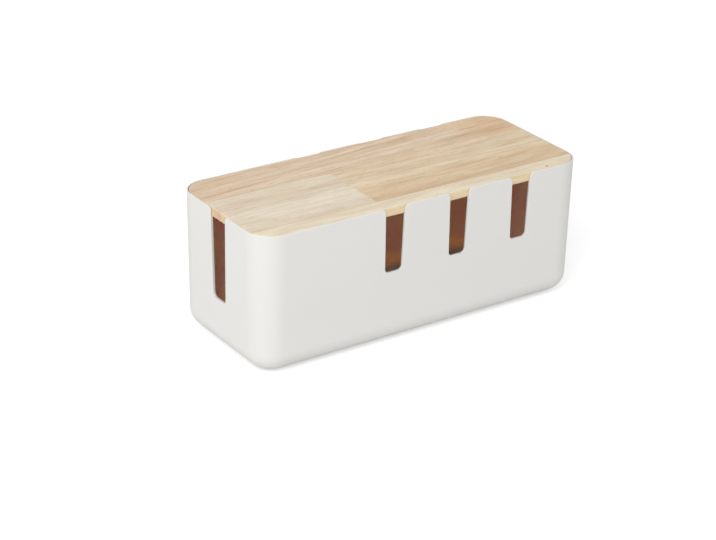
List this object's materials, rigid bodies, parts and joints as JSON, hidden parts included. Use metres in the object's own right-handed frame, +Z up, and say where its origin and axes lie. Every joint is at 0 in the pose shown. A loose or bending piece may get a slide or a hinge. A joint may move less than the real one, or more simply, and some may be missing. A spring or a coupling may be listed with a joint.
{
  "type": "cable management box",
  "caption": "Free-standing box that hides a power strip and its cables: open moulded case with cable slots down from the rim, and a glued wood lid that lies on a ledge inside the rim.",
  "frame": {"origin": "on the desk, under the middle of the box, at the underside of its feet", "axes": "+X along the box to its right end, +Y to its back, +Z up"},
  "size_m": [0.32, 0.13, 0.1227],
  "materials": {
    "case_plastic": "smooth satin white",
    "light_wood": "clear matt lacquer, pale grain",
    "tan_wood": "clear matt lacquer, tan streaked grain",
    "foot_rubber": "soft matt"
  },
  "bodies": {
    "case": {"case": "case_plastic", "foot_front_left": "foot_rubber", "foot_front_right": "foot_rubber", "foot_back_left": "foot_rubber", "foot_back_right": "foot_rubber"},
    "lid": {"lid_front_stave": "light_wood", "lid_middle_stave_left": "light_wood", "lid_middle_stave_right": "tan_wood", "lid_back_stave": "tan_wood"}
  },
  "joints": [
    {"name": "lid_lift", "type": "slide", "parent": "case", "child": "lid", "axis": [0, 0, 1], "range_m": [0, 0.1]}
  ]
}
